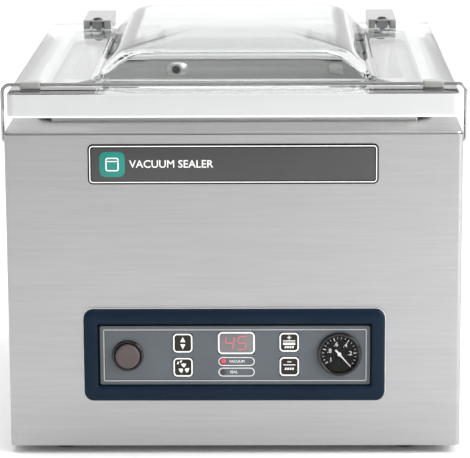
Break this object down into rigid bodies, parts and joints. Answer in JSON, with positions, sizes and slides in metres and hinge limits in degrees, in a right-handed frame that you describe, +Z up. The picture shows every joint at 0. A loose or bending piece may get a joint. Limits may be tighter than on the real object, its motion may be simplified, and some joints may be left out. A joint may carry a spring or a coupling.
{
  "type": "table-top chamber vacuum sealer",
  "caption": "Stainless table-top vacuum sealer with a hinged clear domed lid, wire lid bail, inner seal bar, control panel with keys and a vacuum gauge.",
  "frame": {"origin": "centre of the footprint, on the surface that the feet rest on", "axes": "+X to the right seen from the front, +Y to the rear hinges, +Z up; the control panel faces -Y"},
  "size_m": [0.4612, 0.5775, 0.4049],
  "materials": {
    "brushed_stainless": "horizontally brushed stainless sheet",
    "deck_stainless": "smoother brushed stainless sheet",
    "polished_stainless": "bright polished stainless",
    "zinc_plate": "zinc-plated steel, satin",
    "satin_aluminium": "satin cast and extruded aluminium",
    "clear_acrylic": "clear polished acrylic, moulded",
    "black_rubber": "black rubber, slightly glossy",
    "clip_plastic": "warm grey moulded plastic",
    "black_plastic": "black moulded plastic",
    "bezel_plastic": "dark navy moulded plastic, satin gloss",
    "keypad_film": "grey printed film",
    "key_plastic": "dark brown-grey keys with white outlines",
    "button_plastic": "warm grey push button",
    "switch_metal": "dark satin ring",
    "display_lens": "smoky pink display window",
    "led_lens": "red lamp lens",
    "dial_black": "black printed dial",
    "needle_white": "white painted pointer",
    "gauge_lens": "clear gauge window",
    "nameplate_grey": "dark grey plate with a thin silver line",
    "pump_iron": "painted cast iron",
    "motor_paint": "grey painted aluminium motor",
    "hose_rubber": "reinforced vacuum hose",
    "transformer_core": "varnished core and winding",
    "silicone": "grey silicone strip",
    "ptfe_tape": "brown woven non-stick tape",
    "circuit_board": "green circuit board",
    "spring_black": "black painted gas spring tube"
  },
  "bodies": {
    "cabinet": {"front_panel": "brushed_stainless", "side_panel_left": "brushed_stainless", "side_panel_right": "brushed_stainless", "rear_panel": "brushed_stainless", "top_deck": "deck_stainless", "chamber_tub": "polished_stainless", "seal_cylinder_left": "polished_stainless", "seal_cylinder_right": "polished_stainless", "base_tray": "zinc_plate", "pump_cradle": "zinc_plate", "hinge_bracket_left": "zinc_plate", "hinge_bracket_right": "zinc_plate", "suction_nozzle": "satin_aluminium", "gauge_glass": "gauge_lens", "foot_front_left": "black_rubber", "foot_rear_left": "black_rubber", "foot_front_right": "black_rubber", "foot_rear_right": "black_rubber", "vent_valve": "clip_plastic", "mains_inlet": "black_plastic", "exhaust_fitting": "black_plastic", "gauge_case": "black_plastic", "control_bezel": "bezel_plastic", "keypad_sheet": "keypad_film", "power_switch_body": "switch_metal", "display_window": "display_lens", "vacuum_led": "led_lens", "seal_led": "led_lens", "gauge_dial": "dial_black", "nameplate": "nameplate_grey", "vacuum_pump": "pump_iron", "pump_motor": "motor_paint", "fan_cover": "motor_paint", "vacuum_hose": "hose_rubber", "seal_transformer": "transformer_core", "control_board": "circuit_board", "gas_spring_tube_left": "spring_black", "gas_spring_tube_right": "spring_black"},
    "lid": {"lid_shell": "clear_acrylic", "lid_gasket": "black_rubber", "counter_bar": "satin_aluminium", "counter_bar_strip": "silicone", "bail_clip_left": "clip_plastic", "bail_clip_right": "clip_plastic", "hinge_cover_left": "satin_aluminium", "hinge_cover_right": "satin_aluminium", "hinge_arm_left": "zinc_plate", "hinge_arm_right": "zinc_plate"},
    "bail": {"bail_rod": "polished_stainless"},
    "seal_bar": {"seal_bar_beam": "satin_aluminium", "seal_bar_tape": "ptfe_tape"},
    "gas_rod_left": {"gas_spring_rod_left": "polished_stainless"},
    "gas_rod_right": {"gas_spring_rod_right": "polished_stainless"},
    "power_button": {"power_button": "button_plastic"},
    "key_up_down": {"key_up_down": "key_plastic"},
    "key_fan": {"key_fan": "key_plastic"},
    "key_plus": {"key_plus": "key_plastic"},
    "key_minus": {"key_minus": "key_plastic"},
    "gauge_needle": {"gauge_needle": "needle_white"},
    "fan": {"fan_rotor": "black_plastic"}
  },
  "joints": [
    {"name": "lid_hinge", "type": "hinge", "parent": "cabinet", "child": "lid", "pos_m": [0, 0.272, 0.3], "axis": [-1, 0, 0], "range_deg": [0, 45]},
    {"name": "bail_turn", "type": "hinge", "parent": "lid", "child": "bail", "pos_m": [0, -0.244, 0.37], "axis": [-1, 0, 0], "range_deg": [-60, 180]},
    {"name": "seal_bar_lift", "type": "slide", "parent": "cabinet", "child": "seal_bar", "axis": [0, 0, 1], "range_m": [0, 0.01]},
    {"name": "power_button_press", "type": "slide", "parent": "cabinet", "child": "power_button", "axis": [0, 1, 0], "range_m": [0, 0.004], "stiffness_N_per_m": 400},
    {"name": "key_up_down_press", "type": "slide", "parent": "cabinet", "child": "key_up_down", "axis": [0, 1, 0], "range_m": [0, 0.0008], "stiffness_N_per_m": 800},
    {"name": "key_fan_press", "type": "slide", "parent": "cabinet", "child": "key_fan", "axis": [0, 1, 0], "range_m": [0, 0.0008], "stiffness_N_per_m": 800},
    {"name": "key_plus_press", "type": "slide", "parent": "cabinet", "child": "key_plus", "axis": [0, 1, 0], "range_m": [0, 0.0008], "stiffness_N_per_m": 800},
    {"name": "key_minus_press", "type": "slide", "parent": "cabinet", "child": "key_minus", "axis": [0, 1, 0], "range_m": [0, 0.0008], "stiffness_N_per_m": 800},
    {"name": "gauge_needle_turn", "type": "hinge", "parent": "cabinet", "child": "gauge_needle", "pos_m": [0.1043, -0.282, 0.1043], "axis": [0, -1, 0], "range_deg": [0, 270], "stiffness_Nm_per_rad": 0.0002},
    {"name": "fan_spin", "type": "hinge", "parent": "cabinet", "child": "fan", "pos_m": [0.111, 0, 0.098], "axis": [1, 0, 0], "continuous": true},
    {"name": "gas_rod_left_slide", "type": "slide", "parent": "cabinet", "child": "gas_rod_left", "axis": [0, 0, 1], "range_m": [0, 0.031]},
    {"name": "gas_rod_right_slide", "type": "slide", "parent": "cabinet", "child": "gas_rod_right", "axis": [0, 0, 1], "range_m": [0, 0.031]}
  ],
  "couplings": [
    {"joint": "gas_rod_left_slide", "follows": "lid_hinge", "m_per_rad": 0.03898},
    {"joint": "gas_rod_right_slide", "follows": "lid_hinge", "m_per_rad": 0.03898}
  ]
}
